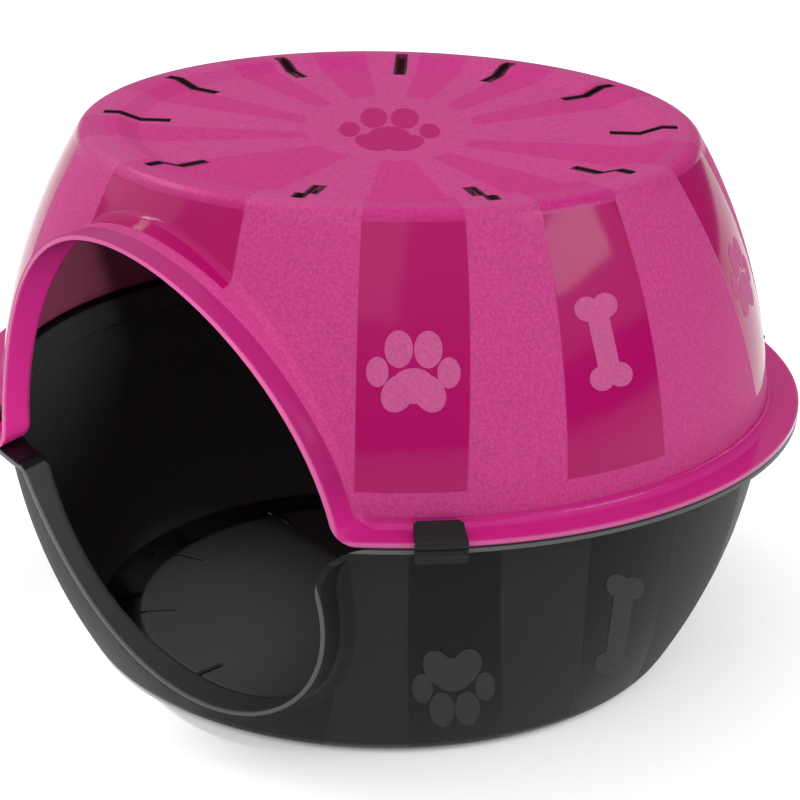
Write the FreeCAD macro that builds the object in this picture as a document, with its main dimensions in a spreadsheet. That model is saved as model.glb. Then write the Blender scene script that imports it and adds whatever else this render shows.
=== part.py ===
import FreeCAD, Part
import math
import os
import Sketcher

# Cat cave of two flanged plastic half-shells held together by snap clips.
# Millimetres. The door faces -Y, +Z is up, the cave stands on Z = 0 with the middle of its
# bounding box over the origin. Each shell is drawn rim down about Z, with its rim on Z = 0, and is
# then put in its place.

Vector = FreeCAD.Vector
os.makedirs("parts", exist_ok=True)
doc = FreeCAD.newDocument("cat_cave")

# Driving dimensions
SIZES = {
    # shells
    "rim_radius": 240.0,
    "half_height": 154.0,
    # how far the shells' axis lies before the middle of the cave, which the door shortens
    "axis_offset": 8.4,
    "wall": 3.0,
    "flange": 3.0,
    # the wall starts inside the flange and draws in by its flare, on an arc
    "flange_width": 17.9,
    "wall_flare": 49.6,
    "wall_arc_radius": 330.0,
    "upper_end_fillet": 8.0,
    "lower_end_fillet": 19.0,
    "ring_band": 19.4,
    "step_run": 12.0,
    "step_drop": 4.0,
    # air slots in the end faces
    "slot_width": 4.5,
    "slot_length": 38.0,
    "slot_place": 143.0,
    # door, a slanted oval: the half-axes of each shell's half, its collar's taper, and the sweep of
    # its feet, on the left and on the right of someone who looks in
    "door_slant": 30.0,
    "upper_door_long": 141.8,
    "upper_door_short": 98.1,
    "upper_collar_taper": 7.8,
    "upper_left_foot": 9.5,
    "upper_right_foot": 16.0,
    "lower_door_long": 124.2,
    "lower_door_short": 79.9,
    "lower_collar_taper": 13.0,
    "lower_left_foot": 11.0,
    "lower_right_foot": 32.0,
    "collar_blend": 5.0,
    # bead round the inside of the lower shell, which stops short of the door
    "bead_radius": 1.6,
    "bead_depth": 20.0,
    "bead_gap": 34.0,
    # clips, the front ones beside the door and the rear ones straight behind them
    "clip_place": 149.4,
    "clip_width": 26.5,
    "clip_wall": 2.4,
    "clip_reach": 12.5,
    "clip_grip": 6.4,
    "clip_skirt": 1.5,
    "clip_ridge": 4.6,
    "clip_ridge_radius": 2.6,
    "clip_crease": 0.6,
    "clip_corner": 2.0,
    "clip_clearance": 0.3,
}
# Azimuths of the air slots, in degrees from the door axis towards +X
SLOT_AZIMUTHS = (15, 51, 84, 120, 156, 184, 209, 237, 267, 299, 340)
# Azimuth of -Y, the door axis, from +X
DOOR_AXIS = -90
# Room that a cutting or trimming tool has beyond what it cuts
OVERRUN = 10
# How near a point has to be to count as on a surface
NEAR = 0.01

# Centre of the wall's arc, in the XZ plane, as expressions
RISE = "(Sizes.half_height - Sizes.flange)"
STEEPNESS = "sqrt(Sizes.wall_arc_radius ^ 2 / (Sizes.wall_flare ^ 2 + %s ^ 2) - 0.25)" % RISE
ARC_X = "(Sizes.rim_radius - Sizes.flange_width - Sizes.wall_flare / 2 - %s * %s)" % (RISE, STEEPNESS)
ARC_Z = "((Sizes.half_height + Sizes.flange) / 2 - Sizes.wall_flare * %s)" % STEEPNESS

sheet = doc.addObject("Spreadsheet::Sheet", "Sizes")
for row, (alias, number) in enumerate(SIZES.items(), start=1):
    sheet.set("A%d" % row, alias)
    sheet.set("B%d" % row, str(number))
    sheet.setAlias("B%d" % row, alias)
doc.recompute()


def size(alias):
    return float(getattr(sheet, alias))


def worth(expression):
    return float(sheet.evalExpression(expression))


def bind(obj, expressions):
    for path, expression in expressions.items():
        obj.setExpression(path, expression)


def wall_radius_at(height, inset="0"):
    """Expression for the wall's radius at a height above the rim, inset from its outer face."""
    return "%s + sqrt((Sizes.wall_arc_radius - %s) ^ 2 - (%s - %s) ^ 2)" % (ARC_X, inset, height, ARC_Z)


def on_wall(point, inset=0.0):
    """Whether a point lies on the wall's outer face, or on the face that is inset from it."""
    across = math.hypot(point.x, point.y) - worth(ARC_X)
    up = point.z - worth(ARC_Z)
    return abs(math.hypot(across, up) - size("wall_arc_radius") + inset) < NEAR


def outline(sketch, corners, arcs):
    """Draw a closed outline through corners that are pairs of expressions.

    arcs gives the radius expression for the number of each corner from which an arc runs
    counterclockwise to the next corner; the other stretches are straight."""
    places = [Vector(worth(across), worth(up)) for across, up in corners]
    followers = places[1:] + places[:1]
    for number, (start, end) in enumerate(zip(places, followers)):
        if number not in arcs:
            sketch.addGeometry(Part.LineSegment(start, end))
            continue
        radius = worth(arcs[number])
        half = (end - start) * 0.5
        inward = Vector(-half.y, half.x).normalize()
        centre = start + half + inward * math.sqrt(radius ** 2 - half.Length ** 2)
        first = math.atan2(start.y - centre.y, start.x - centre.x)
        last = math.atan2(end.y - centre.y, end.x - centre.x)
        sketch.addGeometry(Part.ArcOfCircle(Part.Circle(centre, Vector(0, 0, 1), radius), first, last))
    for number in range(len(corners)):
        follower = (number + 1) % len(corners)
        sketch.addConstraint(Sketcher.Constraint("Coincident", number, 2, follower, 1))
    for number, (place, corner) in enumerate(zip(places, corners)):
        for kind, now, expression in zip(("DistanceX", "DistanceY"), place, corner):
            index = sketch.addConstraint(Sketcher.Constraint(kind, -1, 1, number, 1, now))
            sketch.setExpression("Constraints[%d]" % index, expression)
    for number, expression in arcs.items():
        index = sketch.addConstraint(Sketcher.Constraint("Radius", number, worth(expression)))
        sketch.setExpression("Constraints[%d]" % index, expression)


def turned(name, corners, arcs=None):
    """Solid of revolution about Z from an outline in the XZ plane."""
    sketch = doc.addObject("Sketcher::SketchObject", name + "_profile")
    sketch.Placement = FreeCAD.Placement(Vector(), FreeCAD.Rotation(Vector(1, 0, 0), 90))
    outline(sketch, corners, arcs or {})
    solid = doc.addObject("Part::Revolution", name)
    solid.Source = sketch
    solid.Axis = Vector(0, 0, 1)
    solid.Solid = True
    doc.recompute()
    return solid


def rounded(name, base, radius_of):
    """Fillet of the edges for which radius_of, asked with an edge and its middle, gives a radius."""
    edges = []
    for number, edge in enumerate(base.Shape.Edges, start=1):
        middle = edge.valueAt((edge.FirstParameter + edge.LastParameter) / 2)
        radius = None if edge.Degenerated else radius_of(edge, middle)
        if radius:
            edges.append((number, radius, radius))
    fillet = doc.addObject("Part::Fillet", name)
    fillet.Base = base
    fillet.Edges = edges
    doc.recompute()
    return fillet


def combined(kind, name, base, tool):
    result = doc.addObject("Part::" + kind, name)
    result.Base = base
    result.Tool = tool
    result.Refine = True
    doc.recompute()
    return result


def is_meridian(edge, middle):
    """Whether an edge runs straight up and down a surface of revolution, as its seam does."""
    start = edge.valueAt(edge.FirstParameter)
    return abs(start.x * middle.y - start.y * middle.x) < NEAR * start.Length


def end_face(half, inset):
    """Corners of an end face, from the wall inwards: rounded edge, ring, step and recessed middle.

    inset is how far the face lies within the shell's outside."""
    ceiling = "(Sizes.half_height - %s)" % inset
    fillet = "(Sizes.%s_end_fillet - %s)" % (half, inset)
    wall_arc = "(Sizes.wall_arc_radius - %s)" % inset
    # the rounding touches the wall's arc from within, so its centre lies a fillet nearer to the arc's
    rise = "(%s - %s - %s)" % (ceiling, fillet, ARC_Z)
    run = "sqrt((%s - %s) ^ 2 - %s ^ 2)" % (wall_arc, fillet, rise)
    stretch = "%s / (%s - %s)" % (wall_arc, wall_arc, fillet)
    ring_inner = wall_radius_at("Sizes.half_height") + " - Sizes.ring_band"
    recess = ceiling + " - Sizes.step_drop"
    return [
        ("%s + %s * %s" % (ARC_X, run, stretch), "%s + %s * %s" % (ARC_Z, rise, stretch)),
        ("%s + %s" % (ARC_X, run), ceiling),
        (ring_inner, ceiling),
        (ring_inner + " - Sizes.step_run", recess),
        ("0", recess),
    ]


def bowl(name, half):
    """Outer form of a shell, taken as solid: rim flange, wall and end face."""
    corners = [
        ("0", "0"),
        ("Sizes.rim_radius", "0"),
        ("Sizes.rim_radius", "Sizes.flange"),
        (wall_radius_at("Sizes.flange"), "Sizes.flange"),
    ] + end_face(half, "0")
    arcs = {3: "Sizes.wall_arc_radius", 4: "Sizes.%s_end_fillet" % half}
    return turned(name + "_bowl", corners, arcs)


def cavity(name, half):
    """Room inside a shell, one wall within the bowl and running out below the rim."""
    foot = wall_radius_at("0", "Sizes.wall")
    corners = [
        ("0", "-%d" % OVERRUN),
        (foot, "-%d" % OVERRUN),
        (foot, "0"),
    ] + end_face(half, "Sizes.wall")
    arcs = {2: "Sizes.wall_arc_radius - Sizes.wall", 3: "Sizes.%s_end_fillet - Sizes.wall" % half}
    return turned(name + "_cavity", corners, arcs)


def plate(name, low, thickness, front):
    """Flat plate across the rim, its front half or its back half."""
    slab = doc.addObject("Part::Box", name)
    bind(slab, {
        "Length": "2 * (Sizes.rim_radius + %d)" % OVERRUN,
        "Width": "Sizes.rim_radius + %d" % OVERRUN,
        "Height": thickness,
        "Placement.Base.x": "-Sizes.rim_radius - %d" % OVERRUN,
        "Placement.Base.y": "-Sizes.rim_radius - %d" % OVERRUN if front else "0",
        "Placement.Base.z": low,
    })
    return slab


def door_form(name, half, proud, slab, slab_top):
    """Door tunnel along -Y joined to a plate, with its feet, the corners between the two, filleted.

    proud is how far the tunnel's oval lies outside the door opening."""
    slant = FreeCAD.Rotation(Vector(0, 1, 0), -size("door_slant"))
    upright = FreeCAD.Rotation(Vector(0, 0, 1), Vector(-1, 0, 0), Vector(0, -1, 0), "XYZ")
    oval = doc.addObject("Part::Ellipse", name + "_oval")
    bind(oval, {
        "MajorRadius": "Sizes.%s_door_long + %s" % (half, proud),
        "MinorRadius": "Sizes.%s_door_short + %s" % (half, proud),
    })
    oval.Placement = FreeCAD.Placement(Vector(), slant * upright)
    tube = doc.addObject("Part::Extrusion", name + "_tube")
    tube.Base = oval
    tube.DirMode = "Custom"
    tube.Dir = Vector(0, -1, 0)
    tube.Solid = True
    bind(tube, {"LengthFwd": "Sizes.rim_radius + %d" % OVERRUN})
    block = combined("Fuse", name + "_block", tube, slab)

    def foot_radius(edge, middle):
        runs_along = abs(edge.tangentAt(edge.FirstParameter).y) > 1 - NEAR
        on_top = abs(middle.z - slab_top) < NEAR
        if not runs_along or not on_top or abs(middle.x) > size("rim_radius"):
            return None
        # the lower shell is turned over into its place, which swaps its sides
        on_left = (middle.x < 0) == (half == "upper")
        return size("%s_%s_foot" % (half, "left" if on_left else "right")) - worth(proud)

    return rounded(name, block, foot_radius)


def collar(name, half):
    """Rim flange swept up round the door, trimmed to the rim and to the collar's taper."""
    slab = plate(name + "_plate", "0", "Sizes.flange", front=True)
    form = door_form(name + "_form", half, "Sizes.wall", slab, size("flange"))
    climb = "(Sizes.half_height - Sizes.flange) * tan(Sizes.%s_collar_taper * 1deg)" % half
    limit = turned(name + "_limit", [
        ("0", "0"),
        ("Sizes.rim_radius", "0"),
        ("Sizes.rim_radius", "Sizes.flange"),
        ("Sizes.rim_radius - " + climb, "Sizes.half_height"),
        ("0", "Sizes.half_height"),
    ])
    return combined("Common", name, form, limit)


def hollow(name, half):
    """All that is open in a shell: its room, the door through the wall, and what lies below the rim."""
    below = "-%d" % OVERRUN
    front = plate(name + "_front_plate", below, str(OVERRUN), front=True)
    back = plate(name + "_back_plate", below, str(OVERRUN), front=False)
    form = door_form(name + "_form", half, "0", front, 0.0)
    around = combined("Fuse", name + "_around", form, back)
    return combined("Fuse", name + "_sharp", around, cavity(name, half))


def blended(name, half, base, inset, radius):
    """Round the foot of the wall, where it runs out into the rim flange and the door collar."""
    def blend_radius(edge, middle):
        below_end = middle.z < size("half_height") - size(half + "_end_fillet")
        at_foot = below_end and on_wall(middle, inset) and not is_meridian(edge, middle)
        return radius if at_foot else None

    return rounded(name, base, blend_radius)


def slots(name):
    """Air slots through an end face, spread round it."""
    cutters = []
    for number, azimuth in enumerate(SLOT_AZIMUTHS, start=1):
        cutter = doc.addObject("Part::Box", "%s_slot_%d" % (name, number))
        bind(cutter, {
            "Length": "Sizes.slot_length",
            "Width": "Sizes.slot_width",
            "Height": "Sizes.step_drop + 2 * Sizes.wall + %d" % OVERRUN,
        })
        turn = FreeCAD.Rotation(Vector(0, 0, 1), DOOR_AXIS + azimuth)
        corner = Vector(size("slot_place") - size("slot_length") / 2, -size("slot_width") / 2,
                        size("half_height") - size("step_drop") - 2 * size("wall"))
        cutter.Placement = FreeCAD.Placement(turn.multVec(corner), turn)
        cutters.append(cutter)
    group = doc.addObject("Part::Compound", name + "_slots")
    group.Links = cutters
    doc.recompute()
    return group


def bead(name):
    """Half-round bead on the inside of the wall, from one side of the door round the back to the other."""
    ring = doc.addObject("Part::Torus", name + "_bead")
    bind(ring, {
        "Radius1": wall_radius_at("Sizes.bead_depth", "Sizes.wall"),
        "Radius2": "Sizes.bead_radius",
        "Angle3": "360 - 2 * Sizes.bead_gap",
        "Placement.Base.z": "Sizes.bead_depth",
        "Placement.Rotation.Angle": "%d + Sizes.bead_gap" % DOOR_AXIS,
    })
    doc.recompute()
    return ring


def shell(name, half, turn):
    """One half-shell, in its place: turned about the door axis and raised to the parting plane."""
    outside = combined("Fuse", name + "_outside_sharp", bowl(name, half), collar(name + "_collar", half))
    outside = blended(name + "_outside", half, outside, 0.0, size("collar_blend"))
    inside = hollow(name + "_hollow", half)
    inside = blended(name + "_inside", half, inside, size("wall"), size("collar_blend") + size("wall"))
    closed = combined("Cut", name + "_closed", outside, inside)
    if half == "lower":
        closed = combined("Fuse", name + "_beaded", closed, bead(name))
    finished = combined("Cut", name, closed, slots(name))
    finished.Placement = FreeCAD.Placement(Vector(), FreeCAD.Rotation(Vector(0, 1, 0), turn))
    bind(finished, {"Placement.Base.y": "-Sizes.axis_offset", "Placement.Base.z": "Sizes.half_height"})
    return finished


def clip(name, azimuth):
    """Snap clip: a C section over both flanges, turned along the rim.

    Outside it has two ridges, and its upper leg thickens to a grip at the tip."""
    gap = "(Sizes.flange + Sizes.clip_clearance)"
    foot = "(Sizes.flange + Sizes.clip_clearance + Sizes.clip_wall)"
    tip = "Sizes.rim_radius - Sizes.clip_reach"
    inner_back = "Sizes.rim_radius + Sizes.clip_clearance"
    back = "Sizes.rim_radius + Sizes.clip_clearance + Sizes.clip_wall"
    corners = [
        (tip, "-" + foot),
        (back, "-%s - Sizes.clip_skirt" % foot),
        (back, "-Sizes.clip_ridge"),
        (back, "-Sizes.clip_crease"),
        (back + " - Sizes.clip_crease", "0"),
        (back, "Sizes.clip_crease"),
        (back, "Sizes.clip_ridge"),
        (tip, gap + " + Sizes.clip_grip"),
        (tip, gap),
        (inner_back, gap),
        (inner_back, "-" + gap),
        (tip, "-" + gap),
    ]
    body = doc.addObject("PartDesign::Body", name)
    planes = {feature.Role: feature for feature in body.Origin.OriginFeatures}
    sketch = body.newObject("Sketcher::SketchObject", name + "_section")
    sketch.AttachmentSupport = [(planes["XZ_Plane"], "")]
    sketch.MapMode = "FlatFace"
    outline(sketch, corners, {2: "Sizes.clip_ridge_radius", 5: "Sizes.clip_ridge_radius"})
    bend = body.newObject("PartDesign::Revolution", name + "_bend")
    bend.Profile = sketch
    bend.ReferenceAxis = (planes["Z_Axis"], [""])
    bend.Midplane = True
    bind(bend, {"Angle": "Sizes.clip_width / Sizes.rim_radius * 1rad"})
    doc.recompute()
    tips = []
    for number, edge in enumerate(bend.Shape.Edges, start=1):
        middle = edge.valueAt((edge.FirstParameter + edge.LastParameter) / 2)
        upright = abs(edge.tangentAt(edge.FirstParameter).z) > 1 - NEAR
        if upright and math.hypot(middle.x, middle.y) < size("rim_radius") - size("clip_reach") + NEAR:
            tips.append("Edge%d" % number)
    bevel = body.newObject("PartDesign::Chamfer", name + "_corners")
    bevel.Base = (bend, tips)
    bind(bevel, {"Size": "Sizes.clip_corner"})
    bind(body, {
        "Placement.Base.y": "-Sizes.axis_offset",
        "Placement.Base.z": "Sizes.half_height",
        "Placement.Rotation.Angle": "%s + %ddeg" % (azimuth, DOOR_AXIS),
    })
    doc.recompute()
    return body


# Azimuth of the front clips from the door axis, as an expression in degrees
CLIP_AZIMUTH = "asin(Sizes.clip_place / Sizes.rim_radius)"

nodes = {
    "upper_shell": shell("upper_shell", "upper", 0),
    "lower_shell": shell("lower_shell", "lower", 180),
    "clip_front_right": clip("clip_front_right", CLIP_AZIMUTH),
    "clip_front_left": clip("clip_front_left", "-" + CLIP_AZIMUTH),
    "clip_rear_right": clip("clip_rear_right", "180deg - " + CLIP_AZIMUTH),
    "clip_rear_left": clip("clip_rear_left", CLIP_AZIMUTH + " - 180deg"),
}
doc.recompute()

for obj in doc.Objects:
    if "Invalid" in obj.State or "Error" in obj.State:
        raise RuntimeError("%s failed: %s" % (obj.Name, obj.State))
for label, obj in nodes.items():
    obj.Label = label
    if obj.Shape.isNull() or not obj.Shape.isValid() or len(obj.Shape.Solids) != 1:
        raise RuntimeError("%s is not one valid solid" % label)
    obj.Shape.exportStep("parts/%s.step" % label)
    box = obj.Shape.BoundBox
    print(label, "volume %.0f" % obj.Shape.Volume, "x %.1f..%.1f" % (box.XMin, box.XMax),
          "y %.1f..%.1f" % (box.YMin, box.YMax), "z %.1f..%.1f" % (box.ZMin, box.ZMax))
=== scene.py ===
import math
import bpy
from mathutils import Matrix, Vector


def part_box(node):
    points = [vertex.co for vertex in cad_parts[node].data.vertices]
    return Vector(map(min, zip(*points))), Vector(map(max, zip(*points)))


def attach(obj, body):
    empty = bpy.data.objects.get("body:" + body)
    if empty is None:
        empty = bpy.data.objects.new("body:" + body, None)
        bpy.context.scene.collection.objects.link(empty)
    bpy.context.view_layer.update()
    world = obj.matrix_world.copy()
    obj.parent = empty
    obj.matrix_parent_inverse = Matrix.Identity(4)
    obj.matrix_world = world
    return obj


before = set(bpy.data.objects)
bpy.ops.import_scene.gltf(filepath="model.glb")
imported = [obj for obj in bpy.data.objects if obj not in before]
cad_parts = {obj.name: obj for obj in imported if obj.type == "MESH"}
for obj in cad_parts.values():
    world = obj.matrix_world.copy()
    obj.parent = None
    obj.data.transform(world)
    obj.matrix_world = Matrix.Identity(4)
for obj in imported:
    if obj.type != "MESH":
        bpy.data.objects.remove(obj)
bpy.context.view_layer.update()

# Cat cave of a pink upper and a black lower half-shell, dressed in metres in the shells' own frame.
# Azimuths are in degrees from the door axis, -Y, towards +X, about the shells' axis.
# Heights are above the rim, where the two shells meet.

# Sizes read from the frame
shell_low, shell_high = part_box("upper_shell")
RIM_Z = shell_low.z
HALF_HEIGHT = shell_high.z - shell_low.z
RIM_RADIUS = shell_high.x
AXIS_Y = shell_high.y - RIM_RADIUS
RIM_MIDDLE = Vector((0, AXIS_Y, RIM_Z))
UP = Vector((0, 0, 1))

# Side wall, an arc that draws in from the rim flange to the end face
FLANGE = 0.003
FLANGE_WIDTH = 0.0179
WALL = 0.003
WALL_FLARE = 0.0496
WALL_ARC_RADIUS = 0.330
WALL_RISE = HALF_HEIGHT - FLANGE
WALL_STEEPNESS = math.sqrt(WALL_ARC_RADIUS ** 2 / (WALL_FLARE ** 2 + WALL_RISE ** 2) - 0.25)
WALL_ARC_X = RIM_RADIUS - FLANGE_WIDTH - WALL_FLARE / 2 - WALL_RISE * WALL_STEEPNESS
WALL_ARC_Z = (HALF_HEIGHT + FLANGE) / 2 - WALL_FLARE * WALL_STEEPNESS
# End face: how deep its middle is recessed, its radius, and the rounding of its edge in the upper shell
END_RECESS = 0.004
END_RADIUS = 0.168
END_ROUNDING = 0.008

# Door, a slanted oval: its half-axes in each shell, and the taper of the collar's free edge
DOOR_SLANT = math.radians(30)
DOOR_AXES = {"upper": (0.1418, 0.0981), "lower": (0.1242, 0.0799)}
COLLAR_TAPER = {"upper": math.radians(7.8), "lower": math.radians(13)}
# Smooth trim: how far it reaches back from the collar's free edge, out from the door and up from the rim
COLLAR_BAND = {"upper": 0.013, "lower": 0.030}
TRIM_ROUND_DOOR = 0.0095
TRIM_ABOVE_RIM = 0.0085

# Glossy stripes of each shell: azimuths of the left and right edge at the rim, then at the end face
UPPER_STRIPES = (
    (-23, 9.5, -24, 7.3),
    (27.9, 42.2, 27.2, 44.3),
    (56.4, 73, 57.6, 73.2),
    (102, 117, 91.5, 110),
    (145, 160, 145, 160),
    (173, 184, 173, 184),
    (194, 205, 194, 205),
    (217, 229, 217, 229),
    (240, 250, 240, 250),
    (267, 281, 267, 281),
    (302, 319, 302, 317),
)
LOWER_STRIPES = (
    (-6, 27.3, -6, 21.5),
    (35, 47.4, 37, 54.5),
    (60.4, 75.7, 69, 87),
    (96, 112, 104, 120),
    (134, 148, 134, 148),
    (166, 180, 166, 180),
    (198, 212, 198, 212),
    (232, 246, 232, 246),
    (264, 279, 264, 279),
    (298, 313, 298, 313),
)
# How a stripe's edges bend between the rim and the end face: straight in the upper shell
STRIPE_BEND = {"upper": 1.0, "lower": 2.0}
# Where the stripes begin above the rim
STRIPE_FOOT = {"upper": 0.0215, "lower": 0.011}
# How far behind the collar's free edge the stripe at the door begins, and the azimuth up to which it
# counts as at the door
DOOR_STRIPE_DEPTH = {"upper": 0.022, "lower": 0.009}
DOOR_STRIPE_REACH = 24
# Air slots of an end face: azimuths, radius of the middle, length, and width of the painted shade in their
# mouths
SLOT_AZIMUTHS = (15, 51, 84, 120, 156, 184, 209, 237, 267, 299, 340)
SLOT_PLACE = 0.143
SLOT_LENGTH = 0.038
SLOT_SHADE = 0.0078
# The rays of an end face run towards a point off its middle, at this azimuth and distance, and stop at an
# oval hub with these half-axes, whose long one has the same azimuth
HUB_AZIMUTH = 31.5
RAY_POINT = 0.020
HUB_LONG = 0.070
HUB_SHORT = 0.048

# Camera of the photograph, told in the shells' frame
CAMERA_AZIMUTH = math.radians(31.5)
CAMERA_DISTANCE = 1.3015
CAMERA_ABOVE_RIM = 0.497
CAMERA_PITCH = 0.375
CAMERA_YAW = 0.007
CAMERA_ROLL = 0.021
FOCAL_PX = 2373.3
IMAGE_PX = 800
SENSOR_MM = 36.0


def wall_radius(height):
    """Radius of the wall's outer face at a height above or below the rim."""
    return WALL_ARC_X + math.sqrt(WALL_ARC_RADIUS ** 2 - (abs(height) - WALL_ARC_Z) ** 2)


def out_at(azimuth):
    """Level direction away from the axis at an azimuth."""
    turn = math.radians(azimuth)
    return Vector((math.sin(turn), -math.cos(turn), 0))


def wall_place(azimuth, height):
    """Point on the wall, and the directions along the rim, up the wall and out of it."""
    out = out_at(azimuth)
    along = UP.cross(out)
    lean = math.asin((abs(height) - WALL_ARC_Z) / WALL_ARC_RADIUS)
    normal = out * math.cos(lean) + Vector((0, 0, math.copysign(math.sin(lean), height)))
    point = Vector((0, AXIS_Y, RIM_Z + height)) + out * wall_radius(height)
    return point, along, normal.cross(along), normal


# Materials

# Plastic: refraction, and the specular level of the pink shell, of the black one and of the paw on the top
PLASTIC_IOR = 1.49
PINK_SHEEN = 0.21
BLACK_SHEEN = 0.145
TOP_PAW_SHEEN = 0.12
# Moulded grain, in cells to the metre, how far it stands up, and the build of its noise
GRAIN = 620.0
GRAIN_HEIGHT = 0.00022
NOISE_DETAIL = 2.0
NOISE_ROUGHNESS = 0.6
# Slow unevenness of a shell, in cells to the metre, and how much it shifts the shade and the roughness
CLOUD = 9.0
CLOUD_SHADE = 0.10
CLOUD_ROUGHNESS = 0.06
# How much smoother than the matte wall the rays and the rounded edge of an end face are
RAY_SMOOTHNESS = 0.06
EDGE_SMOOTHNESS = 0.23
# How much the grain adds to the roughness of a motif or a clip
MOTIF_UNEVENNESS = 0.12
# Width over which the finish changes at the edge of a stripe or a ray, in degrees
STRIPE_BLUR = 0.25
RAY_BLUR = 0.5
# Width over which it changes at other zones and at the rounded edge of an end face
ZONE_BLUR = 0.0006
EDGE_BLUR = 0.0024
# Depth of the painted highlight line on the free edges of rim and collar, and its width on the collar
EDGE_HIGHLIGHT_DEPTH = 0.0009
LIP_HIGHLIGHT_WIDTH = 0.0022
# Height over the rim about which the trim takes on the colour of the collar's arch
ARCH_FOOT = 0.02
# Height of the painted shade in the seam between the rims
SEAM_SHADE_HEIGHT = 0.0007


def colour(red, green, blue):
    """Linear colour of an sRGB one with channels up to 255."""
    channels = []
    for channel in (red, green, blue):
        share = channel / 255
        channels.append(share / 12.92 if share < 0.04045 else ((share + 0.055) / 1.055) ** 2.4)
    return (*channels, 1.0)


class Field:
    """A number over a surface, written as arithmetic and worked out by Math nodes."""

    def __init__(self, tree, socket):
        self.tree = tree
        self.socket = socket

    def math(self, operation, *others, clamp=False):
        """The field of a Math node that takes this field first and then others or constants."""
        node = self.tree.nodes.new("ShaderNodeMath")
        node.operation = operation
        node.use_clamp = clamp
        self.tree.links.new(self.socket, node.inputs[0])
        for other, socket in zip(others, node.inputs[1:]):
            if isinstance(other, Field):
                self.tree.links.new(other.socket, socket)
            else:
                socket.default_value = other
        return Field(self.tree, node.outputs[0])

    def __add__(self, other):
        return self.math("ADD", other)

    def __sub__(self, other):
        return self.math("SUBTRACT", other)

    def __mul__(self, other):
        return self.math("MULTIPLY", other)

    def __truediv__(self, other):
        return self.math("DIVIDE", other)

    def length_with(self, other):
        """Length of a way whose two legs are this field and the other."""
        return (self * self + other * other).math("SQRT")

    def most(self, other):
        return self.math("MAXIMUM", other)

    def over(self, limit, soft):
        """1 where the field is over a limit and 0 where it is under, blurred over a band."""
        return (self - limit).math("MULTIPLY_ADD", 1 / soft, 0.5, clamp=True)

    def under(self, limit, soft):
        """1 where the field is under a limit and 0 where it is over, blurred over a band."""
        return (self - limit).math("MULTIPLY_ADD", -1 / soft, 0.5, clamp=True)

    def other_than(self):
        """What is left of 1."""
        return self.math("MULTIPLY_ADD", -1.0, 1.0)


def place_fields(tree, place):
    """The three coordinates of a place, as fields."""
    split = tree.nodes.new("ShaderNodeSeparateXYZ")
    tree.links.new(place, split.inputs[0])
    return [Field(tree, socket) for socket in split.outputs]


def bearing(across, along):
    """Azimuth, in degrees, of a place given across the door axis and along +Y."""
    return across.math("ARCTAN2", along * -1.0).math("DEGREES")


def off_bearing(azimuth, middle):
    """Degrees between an azimuth field and a middle, either way round."""
    return (azimuth - middle).math("WRAP", 180.0, -180.0).math("ABSOLUTE")


def any_of(masks):
    """1 where any of the masks is 1."""
    whole = masks[0]
    for mask in masks[1:]:
        whole = whole.most(mask)
    return whole


def mixed(tree, share, first, second):
    """Colour that goes from the first to the second; each is a colour or a node's output."""
    node = tree.nodes.new("ShaderNodeMix")
    node.data_type = "RGBA"
    tree.links.new(share.socket, node.inputs["Factor"])
    # the node has sockets for each type of data; these are the ones for colours
    for value, socket in ((first, node.inputs[6]), (second, node.inputs[7])):
        if isinstance(value, tuple):
            socket.default_value = value
        else:
            tree.links.new(value, socket)
    return node.outputs[2]


def tinted(tree, base, shade):
    """Base colour times a shade field."""
    node = tree.nodes.new("ShaderNodeVectorMath")
    node.operation = "SCALE"
    tree.links.new(base, node.inputs[0])
    tree.links.new(shade.socket, node.inputs["Scale"])
    return node.outputs[0]


def noise(tree, place, scale):
    """Noise from about 0 to 1 with so many cells to the metre."""
    node = tree.nodes.new("ShaderNodeTexNoise")
    node.inputs["Scale"].default_value = scale
    node.inputs["Detail"].default_value = NOISE_DETAIL
    node.inputs["Roughness"].default_value = NOISE_ROUGHNESS
    tree.links.new(place, node.inputs["Vector"])
    return Field(tree, node.outputs["Fac"])


def new_plastic(name, sheen):
    """Empty plastic: its node tree, its shader and the place on the surface."""
    material = bpy.data.materials.new(name)
    material.use_nodes = True
    tree = material.node_tree
    shader = tree.nodes["Principled BSDF"]
    shader.inputs["IOR"].default_value = PLASTIC_IOR
    shader.inputs["Specular IOR Level"].default_value = sheen
    place = tree.nodes.new("ShaderNodeTexCoord").outputs["Object"]
    return material, tree, shader, place


def add_grain(tree, shader, height):
    """Let the grain stand up from the surface."""
    bump = tree.nodes.new("ShaderNodeBump")
    bump.inputs["Strength"].default_value = 1.0
    bump.inputs["Distance"].default_value = GRAIN_HEIGHT
    tree.links.new(height.socket, bump.inputs["Height"])
    tree.links.new(bump.outputs["Normal"], shader.inputs["Normal"])


def stripe_mask(azimuth, share, stripes):
    """1 on the wall's stripes; share runs from 0 at the rim to 1 at the end face."""
    masks = []
    for left, right, end_left, end_right in stripes:
        middle = (left + right) / 2
        half = (right - left) / 2
        drift = (end_left + end_right) / 2 - middle
        spread = (end_right - end_left) / 2 - half
        off = off_bearing(azimuth - share * drift, middle)
        masks.append((off - share * spread).under(half, STRIPE_BLUR))
    return any_of(masks)


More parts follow.
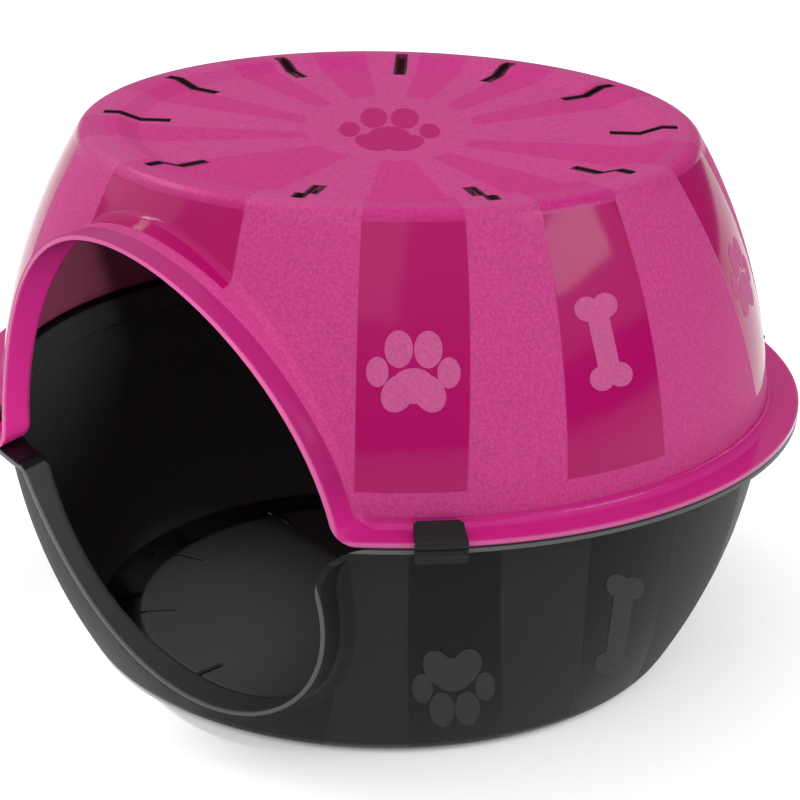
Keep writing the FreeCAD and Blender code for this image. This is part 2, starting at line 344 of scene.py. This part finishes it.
def ray_mask(across, along, stripes):
    """1 on the rays of an end face, which go on from the stripes to the hub."""
    hub_way = out_at(HUB_AZIMUTH)
    aim = hub_way * RAY_POINT
    azimuth = bearing(across - aim.x, along - aim.y)
    masks = []
    for _, _, end_left, end_right in stripes:
        edges = []
        for edge in (end_left, end_right):
            way = out_at(edge) * END_RADIUS - aim
            edges.append(math.degrees(math.atan2(way.x, -way.y)))
        width = (edges[1] - edges[0]) % 360
        masks.append(off_bearing(azimuth, edges[0] + width / 2).under(width / 2, RAY_BLUR))
    towards = across * hub_way.x + along * hub_way.y
    sideways = across * -hub_way.y + along * hub_way.x
    hub = (towards / HUB_LONG).length_with(sideways / HUB_SHORT)
    return any_of(masks) * hub.over(1.0, ZONE_BLUR / HUB_SHORT)


def slot_mask(azimuth, radius):
    """1 in the shaded mouths of an end face's air slots."""
    within = (radius - SLOT_PLACE).math("ABSOLUTE").under(SLOT_LENGTH / 2, ZONE_BLUR)
    masks = []
    for middle in SLOT_AZIMUTHS:
        aside = off_bearing(azimuth, middle) * radius * math.radians(1)
        masks.append(aside.under(SLOT_SHADE / 2, ZONE_BLUR))
    return any_of(masks) * within


def door_distance(across, along, up, half):
    """About how far a place lies outside the door's oval; far where it isn't on the door's side."""
    long_half, short_half = DOOR_AXES[half]
    lengthwise = up * math.cos(DOOR_SLANT) - across * math.sin(DOOR_SLANT)
    sideways = across * math.cos(DOOR_SLANT) + up * math.sin(DOOR_SLANT)
    ratio = (lengthwise / long_half).length_with(sideways / short_half)
    reach = lengthwise.length_with(sideways)
    return reach - reach / ratio + along.over(0.0, ZONE_BLUR)


def shell_plastic(name, half, stripes, finish):
    """Plastic of a half-shell: matte grained wall and rays, glossy stripes, smooth trim and inside.

    finish gives the colours of these zones and how rough, speckled and shiny the plastic is."""
    material, tree, shader, place = new_plastic(name, finish["sheen"])
    across, along, up = place_fields(tree, place)
    along = along - AXIS_Y
    up = up - RIM_Z
    from_rim = up.math("ABSOLUTE")
    radius = across.length_with(along)
    azimuth = bearing(across, along)
    arc_up = from_rim - WALL_ARC_Z
    wall = (arc_up * arc_up).math("MULTIPLY_ADD", -1.0, WALL_ARC_RADIUS ** 2).math("SQRT") + WALL_ARC_X
    door = door_distance(across, along, up, half)
    free_edge = from_rim.math("MULTIPLY_ADD", -math.tan(COLLAR_TAPER[half]), RIM_RADIUS)
    depth = free_edge - radius

    # zones, each 1 inside and 0 outside
    on_end = from_rim.over(HALF_HEIGHT - END_RECESS - WALL / 2, ZONE_BLUR) * radius.under(wall, ZONE_BLUR)
    beyond_room = (radius - wall).over(-WALL / 2, ZONE_BLUR)
    beyond_door = door.over(WALL / 2, ZONE_BLUR)
    outside = (beyond_room * beyond_door).most(on_end)
    band = door.under(TRIM_ROUND_DOOR, ZONE_BLUR) * depth.under(COLLAR_BAND[half], ZONE_BLUR)
    matte = outside * from_rim.over(TRIM_ABOVE_RIM, ZONE_BLUR) * band.other_than()
    share = (from_rim / HALF_HEIGHT).math("POWER", STRIPE_BEND[half])
    stripe = stripe_mask(azimuth, share, stripes) * from_rim.over(STRIPE_FOOT[half], ZONE_BLUR)
    beside_door = off_bearing(azimuth, 0.0).over(DOOR_STRIPE_REACH, STRIPE_BLUR)
    stripe = stripe * beside_door.most(depth.over(DOOR_STRIPE_DEPTH[half], ZONE_BLUR))
    stripe = stripe * on_end.other_than() * matte
    ray = ray_mask(across, along, stripes) * on_end
    rough_zone = matte * stripe.other_than()
    # where the painted highlight line may fall: near the door and on the rim flange
    highlight_zone = door.under(LIP_HIGHLIGHT_WIDTH, ZONE_BLUR).most(from_rim.under(FLANGE, ZONE_BLUR))
    end_edge = from_rim.over(HALF_HEIGHT - END_ROUNDING, EDGE_BLUR)
    end_edge = end_edge * radius.over(END_RADIUS - END_ROUNDING, EDGE_BLUR)

    # colours
    grain = noise(tree, place, GRAIN)
    cloud = noise(tree, place, CLOUD)
    uneven = (grain - 0.5) * finish["speckle"] + (cloud - 0.5) * CLOUD_SHADE
    skin = mixed(tree, ray, finish["matte"], finish["ray"])
    skin = mixed(tree, stripe, skin, finish["stripe"])
    # painted shade in the mouths of the air slots, which makes them look wider
    skin = mixed(tree, slot_mask(azimuth, radius) * on_end, skin, finish["slot"])
    trim = mixed(tree, from_rim.over(ARCH_FOOT, ARCH_FOOT), finish["trim"], finish["arch"])
    # painted light: the collar's inner faces within the door are lighter than the trim, standing in for the
    # light they lack
    trim = mixed(tree, beyond_door, finish["lip"], trim)
    # painted highlight: a pale line on the free edges of rim and collar
    trim = mixed(tree, depth.under(EDGE_HIGHLIGHT_DEPTH, ZONE_BLUR) * highlight_zone, trim, finish["edge"])
    # painted shade: a dark line in the seam between the rims, in the slots' dark colour
    trim = mixed(tree, from_rim.under(SEAM_SHADE_HEIGHT, SEAM_SHADE_HEIGHT), trim, finish["slot"])
    # painted light: the inside of the shell is paler than the same plastic outside, to brighten it where
    # little light reaches
    smooth = mixed(tree, beyond_room, finish["inside"], trim)
    whole = tinted(tree, mixed(tree, matte, smooth, skin), uneven * rough_zone + 1.0)
    tree.links.new(whole, shader.inputs["Base Color"])

    # roughness and grain
    gloss = finish["gloss_roughness"]
    roughness = rough_zone * (finish["matte_roughness"] - gloss) + gloss
    roughness = roughness + (cloud - 0.5) * CLOUD_ROUGHNESS - ray * RAY_SMOOTHNESS
    roughness = roughness - end_edge * rough_zone * EDGE_SMOOTHNESS
    tree.links.new(roughness.socket, shader.inputs["Roughness"])
    add_grain(tree, shader, grain * rough_zone)
    return material


def grained_plastic(name, base, roughness, speckle, sheen):
    """Grained plastic of one colour, for the paw prints, the bones and the clips."""
    material, tree, shader, place = new_plastic(name, sheen)
    grain = noise(tree, place, GRAIN)
    rgb = tree.nodes.new("ShaderNodeRGB")
    rgb.outputs[0].default_value = base
    shade = (grain - 0.5) * speckle + 1.0
    tree.links.new(tinted(tree, rgb.outputs[0], shade), shader.inputs["Base Color"])
    tree.links.new((grain * MOTIF_UNEVENNESS + roughness).socket, shader.inputs["Roughness"])
    add_grain(tree, shader, grain)
    return material


def dress(obj, material):
    """Give an object one material and no other."""
    obj.data.materials.clear()
    obj.data.materials.append(material)


PINK = {
    "matte": colour(192, 59, 130),
    "ray": colour(191, 36, 124),
    "stripe": colour(168, 2, 94),
    "trim": colour(198, 34, 129),
    "arch": colour(166, 32, 106),
    # painted light: lighter colour for the collar's inner faces within the door
    "lip": colour(198, 44, 130),
    # painted highlight on the free edges of rim and collar
    "edge": colour(203, 88, 148),
    # painted light: the inside is paler than the plastic outside, to brighten it
    "inside": colour(160, 78, 108),
    # painted shade, for the slots' mouths and the seam between the rims
    "slot": colour(50, 8, 28),
    "speckle": 0.9,
    "matte_roughness": 0.55,
    "gloss_roughness": 0.11,
    "sheen": PINK_SHEEN,
}
BLACK = {
    "matte": colour(36, 36, 36),
    "ray": colour(29, 29, 29),
    "stripe": colour(6, 6, 6),
    "trim": colour(20, 20, 21),
    "arch": colour(20, 20, 21),
    # painted light: lighter colour for the collar's inner faces within the door
    "lip": colour(54, 54, 54),
    # painted highlight on the free edges of rim and collar
    "edge": colour(92, 92, 92),
    # painted light: the inside is paler than the plastic outside, to brighten it
    "inside": colour(70, 70, 70),
    # painted shade, for the slots' mouths and the seam between the rims
    "slot": colour(8, 8, 8),
    "speckle": 0.7,
    "matte_roughness": 0.55,
    "gloss_roughness": 0.42,
    "sheen": BLACK_SHEEN,
}


# Paw prints and bones, moulded a little proud of the stripes

# How far a motif stands up, the cells of its skin, and the length and sides of the cutters of its outline
MOTIF_PROUD = 0.00015
MOTIF_CELL = 0.003
CUTTER_LENGTH = 0.12
OVAL_SIDES = 48
# Size of the skin as a multiple of the motif's: an outline seen aslant needs more room on the wall
SEEN_ROOM = 3.4
LYING_ROOM = 1.2
# Turn of a face against the next beyond which the edge between them stays sharp
SHARP_TURN = math.radians(35)
# Ovals of a paw in its own plane, as shares of its width and height from its middle:
# middle, width, height and turn in degrees
PAWS = {
    "paw": (
        (-0.170, -0.262, 0.330, 0.470, -28),
        (0.170, -0.262, 0.330, 0.470, 28),
        (0.000, -0.170, 0.473, 0.430, 0),
        (-0.156, 0.273, 0.301, 0.451, 0),
        (0.156, 0.268, 0.301, 0.451, 0),
        (-0.382, 0.000, 0.237, 0.366, 0),
        (0.375, -0.012, 0.247, 0.372, 0),
    ),
    "top paw": (
        (-0.165, -0.300, 0.310, 0.360, 16),
        (0.165, -0.300, 0.310, 0.360, -16),
        (0.000, -0.190, 0.430, 0.500, 0),
        (-0.160, 0.262, 0.270, 0.465, 0),
        (0.150, 0.262, 0.280, 0.475, 0),
        (-0.395, -0.020, 0.205, 0.325, 0),
        (0.395, -0.020, 0.205, 0.325, 0),
    ),
}
# Width of a bone's round lobes and of its shaft, as shares of the bone's width
BONE_LOBE = 0.57
BONE_SHAFT = 0.5
# Motifs: name, kind, azimuth and height of the middle, width, height, turn.
# Those in front have their size and turn as the camera sees them, the others as they lie on the wall.
FRONT_UPPER_MOTIFS = (
    ("upper_paw_front", "paw", 35.4, 0.0809, 0.0468, 0.0412, 0),
    ("upper_bone_front", "bone", 64.1, 0.0863, 0.0220, 0.0486, 12.5),
)
REST_UPPER_MOTIFS = (
    ("upper_paw_right", "paw", 104.0, 0.0860, 0.0455, 0.0420, 0),
    ("upper_bone_rear", "bone", 152.5, 0.0845, 0.0270, 0.0510, 0),
    ("upper_paw_left", "paw", 274, 0.0805, 0.0455, 0.0420, 0),
)
FRONT_LOWER_MOTIFS = (
    ("lower_paw_front", "paw", 42.8, -0.1005, 0.0438, 0.0408, 183),
    ("lower_bone_front", "bone", 69.6, -0.0788, 0.0203, 0.0536, -8.6),
)
REST_LOWER_MOTIFS = (
    ("lower_paw_right", "paw", 110, -0.0950, 0.0455, 0.0600, 180),
    ("lower_bone_rear", "bone", 141, -0.0830, 0.0280, 0.0760, 0),
    ("lower_paw_left", "paw", 271.5, -0.0950, 0.0455, 0.0600, 180),
)
# Large paw on the top: width, height, and how far its middle lies from the axis towards the camera
TOP_PAW_WIDTH = 0.0570
TOP_PAW_HEIGHT = 0.0950
TOP_PAW_OFFSET = 0.005


def bone_ovals(width, height):
    """The four lobes of a bone, as shares of its width and height."""
    aside = (1 - BONE_LOBE) / 2
    high = BONE_LOBE * width / height
    ends = (1 - high) / 2
    return [(across, up, BONE_LOBE, high, 0) for across in (-aside, aside) for up in (-ends, ends)]


def only(obj):
    """Make an object the only selected and the active one."""
    bpy.ops.object.select_all(action="DESELECT")
    obj.select_set(True)
    bpy.context.view_layer.objects.active = obj


def apply_modifier(obj, kind, **settings):
    """Work a modifier with some settings into an object's mesh."""
    only(obj)
    modifier = obj.modifiers.new(kind.lower(), kind)
    for key, value in settings.items():
        setattr(modifier, key, value)
    bpy.ops.object.modifier_apply(modifier=modifier.name)


def fix_place(obj):
    """Put an object's place, turn and scale into its mesh."""
    only(obj)
    bpy.ops.object.transform_apply(location=True, rotation=True, scale=True)


def oval_cutter(part, width, height):
    """Oval column that cuts out one lobe or toe of a motif."""
    across, up, wide, high, turn = part
    bpy.ops.object.select_all(action="DESELECT")
    bpy.ops.mesh.primitive_cylinder_add(vertices=OVAL_SIDES, radius=0.5, depth=CUTTER_LENGTH)
    cutter = bpy.context.object
    cutter.location = (across * width, up * height, 0)
    cutter.rotation_euler = (0, 0, math.radians(turn))
    cutter.scale = (wide * width, high * height, 1)
    fix_place(cutter)
    return cutter


def shaft_cutter(width, height):
    """Block that cuts out the shaft of a bone."""
    bpy.ops.object.select_all(action="DESELECT")
    bpy.ops.mesh.primitive_cube_add(size=1)
    cutter = bpy.context.object
    cutter.scale = (BONE_SHAFT * width, height - BONE_LOBE * width, CUTTER_LENGTH)
    fix_place(cutter)
    return cutter


def motif_cutter(kind, width, height):
    """Column with the outline of a paw print or a bone."""
    ovals = bone_ovals(width, height) if kind == "bone" else PAWS[kind]
    cutters = [oval_cutter(part, width, height) for part in ovals]
    if kind == "bone":
        cutters.append(shaft_cutter(width, height))
    whole = cutters[0]
    for cutter in cutters[1:]:
        apply_modifier(whole, "BOOLEAN", operation="UNION", solver="EXACT", object=cutter)
        bpy.data.objects.remove(cutter)
    return whole


def standing(axes, turn):
    """Turn of a thing that stands on a surface with the axes across, up and out of it."""
    return Matrix(axes).transposed().to_4x4() @ Matrix.Rotation(math.radians(turn), 4, "Z")


def motif(name, kind, place, seen, width, height, turn, node, material):
    """Paw print or bone cut out of a thin skin that lies on the shell.

    place is a point with the directions across, up and out of the surface.
    seen tells that the outline, its width, height and turn are as the camera sees them."""
    point, *axes = place
    cutter = motif_cutter(kind, width, height)
    cutter.matrix_world = Matrix.Translation(point) @ standing(sight_axes(point) if seen else axes, turn)
    fix_place(cutter)

    room = SEEN_ROOM if seen else LYING_ROOM
    bpy.ops.object.select_all(action="DESELECT")
    bpy.ops.mesh.primitive_grid_add(x_subdivisions=int(room * width / MOTIF_CELL),
                                    y_subdivisions=int(room * height / MOTIF_CELL), size=1)
    skin = bpy.context.object
    skin.name = name
    skin.matrix_world = (Matrix.Translation(point + axes[2] * WALL) @ standing(axes, 0 if seen else turn)
                         @ Matrix.Diagonal((room * width, room * height, 1, 1)))
    fix_place(skin)
    apply_modifier(skin, "SHRINKWRAP", wrap_method="NEAREST_SURFACEPOINT", target=node)
    apply_modifier(skin, "SOLIDIFY", thickness=2 * MOTIF_PROUD, offset=0.0)
    apply_modifier(skin, "BOOLEAN", operation="INTERSECT", solver="EXACT", object=cutter)
    bpy.data.objects.remove(cutter)
    only(skin)
    bpy.ops.object.shade_smooth_by_angle(angle=SHARP_TURN)
    dress(skin, material)
    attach(skin, "cave")


def add_motifs():
    """Paw prints and bones on both shells, and the large paw on the top."""
    pink = grained_plastic("pink_motif", colour(192, 82, 138),
                           roughness=0.5, speckle=0.6, sheen=PINK_SHEEN)
    black = grained_plastic("black_motif", colour(51, 51, 51),
                            roughness=0.5, speckle=0.5, sheen=BLACK_SHEEN)
    dark_pink = grained_plastic("pink_dark_motif", colour(176, 6, 102),
                                roughness=0.4, speckle=0.2, sheen=TOP_PAW_SHEEN)
    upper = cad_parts["upper_shell"]
    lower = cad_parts["lower_shell"]
    groups = (
        (FRONT_UPPER_MOTIFS, True, upper, pink, "pink_plastic"),
        (REST_UPPER_MOTIFS, False, upper, pink, "pink_plastic"),
        (FRONT_LOWER_MOTIFS, True, lower, black, "black_plastic"),
        (REST_LOWER_MOTIFS, False, lower, black, "black_plastic"),
    )
    for motifs, seen, node, material, slot in groups:
        for name, kind, azimuth, height, width, length, turn in motifs:
            place = wall_place(azimuth, height)
            motif(name, kind, place, seen, width, length, turn, node, material)
    # the toes of the paw on the top point away from the camera
    away = -out_at(HUB_AZIMUTH)
    middle = Vector((0, AXIS_Y, RIM_Z + HALF_HEIGHT - END_RECESS)) - away * TOP_PAW_OFFSET
    level = (middle, away.cross(UP), away, UP)
    motif("top_paw", "top paw", level, False, TOP_PAW_WIDTH, TOP_PAW_HEIGHT, 0, upper, dark_pink)


# Camera

def camera_place():
    """Where the camera stands."""
    turn = Matrix.Rotation(CAMERA_AZIMUTH, 4, "Z")
    return turn @ Vector((0, -CAMERA_DISTANCE, 0)) + Vector((0, AXIS_Y, RIM_Z + CAMERA_ABOVE_RIM))


def camera_axes():
    """Right, up and forward directions of the camera."""
    forward = Vector((math.sin(CAMERA_YAW) * math.cos(CAMERA_PITCH),
                      math.cos(CAMERA_YAW) * math.cos(CAMERA_PITCH),
                      -math.sin(CAMERA_PITCH)))
    right = forward.cross(UP).normalized()
    up = right.cross(forward)
    rolled_right = math.cos(CAMERA_ROLL) * right + math.sin(CAMERA_ROLL) * up
    turn = Matrix.Rotation(CAMERA_AZIMUTH, 3, "Z")
    return turn @ rolled_right, turn @ rolled_right.cross(forward), turn @ forward


def sight_axes(point):
    """Directions that the camera sees as right and up at a point, and the one from there to the camera."""
    _, up, _ = camera_axes()
    back = (camera_place() - point).normalized()
    across = up.cross(back).normalized()
    return across, back.cross(across), back


def add_camera():
    """Camera with the photograph's place and lens."""
    right, up, forward = camera_axes()
    data = bpy.data.cameras.new("camera")
    data.sensor_width = SENSOR_MM
    data.lens = SENSOR_MM * FOCAL_PX / IMAGE_PX
    camera = bpy.data.objects.new("camera", data)
    bpy.context.scene.collection.objects.link(camera)
    axes = Matrix((right, up, -forward)).transposed().to_4x4()
    camera.matrix_world = Matrix.Translation(camera_place()) @ axes
    bpy.context.scene.camera = camera


# Lights and floor

# Softboxes round the cave: name, azimuth, elevation, distance, width, height and brightness
SOFTBOXES = (
    ("front_softbox", 14, 40, 2.4, 1.6, 1.2, 0.95),
    ("left_softbox", -70, 30, 2.5, 1.8, 1.2, 0.95),
    ("right_softbox", 95, 32, 2.4, 1.9, 1.7, 0.72),
    ("low_softbox", -2, 4, 2.2, 0.6, 0.4, 3.0),
    ("edge_softbox", -88, 47, 2.4, 1.5, 0.24, 7.5),
)
# Softbox that the camera sees mirrored in the stripe with the bone: azimuth and height of the mirrored
# place on the wall, distance from there, then width, height and brightness
MIRRORED_AZIMUTH = 62
MIRRORED_HEIGHT = 0.134
MIRRORED_DISTANCE = 2.2
MIRRORED_SOFTBOX = (0.95, 0.5, 4.2)
# Narrow lamps for the inside of the door and for its lip: name, azimuth, elevation, distance, aim from the
# middle of the rim, reach round the aim, and power in watts
SPOTS = (
    ("door_spot", 14, 42, 2.0, (-0.03, -0.22, -0.01), 0.10, 115),
    ("lip_spot", 48, 5, 1.7, (-0.11, -0.197, 0.035), 0.12, 80),
)
SPOT_BLEND = 0.8
SPOT_RADIUS = 0.04
# Brightness of the studio near the floor, and what it gains up to overhead
STUDIO_LOW = 0.25
STUDIO_GAIN = 0.92
# Side of the studio that is darker, and how much
FLAG_AZIMUTH = 158
FLAG_SHADE = 0.65
# Floor: its size, its white, and what that gains where it is seen, but not where it lights the cave or lies
# under it
FLOOR_SIZE = 24
FLOOR_WHITE = 0.9
FLOOR_ROUGHNESS = 0.9
FLOOR_GLOW = 0.38


def lamp_place(azimuth, elevation, distance):
    """Place of a lamp as it is seen from the middle of the rim."""
    rise = math.radians(elevation)
    way = out_at(azimuth) * math.cos(rise) + UP * math.sin(rise)
    return RIM_MIDDLE + way * distance


def add_lamp(kind, name, place, aim):
    """Lamp of a kind at a place, turned to a point; its data is returned."""
    bpy.ops.object.light_add(type=kind, location=place)
    lamp = bpy.context.object
    lamp.name = name
    lamp.rotation_euler = (aim - place).to_track_quat("-Z", "Y").to_euler()
    return lamp.data


def add_softbox(name, place, aim, width, height, radiance):
    """Soft lamp of a size and brightness."""
    lamp = add_lamp("AREA", name, place, aim)
    lamp.shape = "RECTANGLE"
    lamp.size = width
    lamp.size_y = height
    lamp.energy = radiance * math.pi * width * height


def add_spot(name, place, aim, reach, power):
    """Lamp with a narrow cone, which lights only what lies within a reach of its aim."""
    lamp = add_lamp("SPOT", name, place, aim)
    lamp.energy = power
    lamp.spot_size = 2 * math.atan(reach / (aim - place).length)
    lamp.spot_blend = SPOT_BLEND
    lamp.shadow_soft_size = SPOT_RADIUS


def add_lights():
    """Softboxes, the one mirrored in a stripe, and the narrow lamps for the door."""
    for name, azimuth, elevation, distance, width, height, radiance in SOFTBOXES:
        add_softbox(name, lamp_place(azimuth, elevation, distance), RIM_MIDDLE, width, height, radiance)
    point, _, _, normal = wall_place(MIRRORED_AZIMUTH, MIRRORED_HEIGHT)
    towards = (camera_place() - point).normalized()
    mirrored = 2 * towards.dot(normal) * normal - towards
    add_softbox("stripe_softbox", point + mirrored * MIRRORED_DISTANCE, point, *MIRRORED_SOFTBOX)
    for name, azimuth, elevation, distance, aim, reach, power in SPOTS:
        add_spot(name, lamp_place(azimuth, elevation, distance), RIM_MIDDLE + Vector(aim), reach, power)


def add_world():
    """Pale studio, brighter overhead than near the floor and darker behind the cave."""
    world = bpy.data.worlds.new("studio")
    world.use_nodes = True
    tree = world.node_tree
    background = tree.nodes["Background"]
    way_x, way_y, way_z = place_fields(tree, tree.nodes.new("ShaderNodeTexCoord").outputs["Generated"])
    level = way_z.math("MULTIPLY_ADD", STUDIO_GAIN, STUDIO_LOW).most(STUDIO_LOW)
    flag = out_at(FLAG_AZIMUTH)
    facing = way_x * flag.x + way_y * flag.y
    level = level * facing.most(0.0).math("MULTIPLY_ADD", -FLAG_SHADE, 1.0)
    background.inputs["Color"].default_value = (1, 1, 1, 1)
    tree.links.new(level.socket, background.inputs["Strength"])
    bpy.context.scene.world = world


def add_floor():
    """Wide white floor under the cave, which takes its soft shadow."""
    bpy.ops.object.select_all(action="DESELECT")
    bpy.ops.mesh.primitive_plane_add(size=FLOOR_SIZE)
    floor = bpy.context.object
    floor.name = "floor"
    material = bpy.data.materials.new("floor_white")
    material.use_nodes = True
    tree = material.node_tree
    shader = tree.nodes["Principled BSDF"]
    shader.inputs["Base Color"].default_value = (FLOOR_WHITE, FLOOR_WHITE, FLOOR_WHITE, 1)
    shader.inputs["Roughness"].default_value = FLOOR_ROUGHNESS
    shader.inputs["Specular IOR Level"].default_value = 0.0
    shader.inputs["Emission Color"].default_value = (1, 1, 1, 1)
    rays = tree.nodes.new("ShaderNodeLightPath").outputs
    seen = any_of([Field(tree, rays["Is %s Ray" % kind]) for kind in ("Camera", "Glossy", "Transmission")])
    across, along, _ = place_fields(tree, tree.nodes.new("ShaderNodeTexCoord").outputs["Object"])
    beside_cave = across.length_with(along - AXIS_Y).over(END_RADIUS, END_ROUNDING)
    tree.links.new((seen * FLOOR_GLOW * beside_cave).socket, shader.inputs["Emission Strength"])
    dress(floor, material)


dress(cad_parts["upper_shell"], shell_plastic("pink_shell", "upper", UPPER_STRIPES, PINK))
dress(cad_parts["lower_shell"], shell_plastic("black_shell", "lower", LOWER_STRIPES, BLACK))
clip_black = grained_plastic("clip_black", colour(33, 33, 34),
                             roughness=0.32, speckle=0.25, sheen=BLACK_SHEEN)
for name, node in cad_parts.items():
    if name.startswith("clip"):
        dress(node, clip_black)
add_motifs()
add_camera()
add_lights()
add_world()
add_floor()
bpy.context.scene.view_settings.view_transform = "Standard"
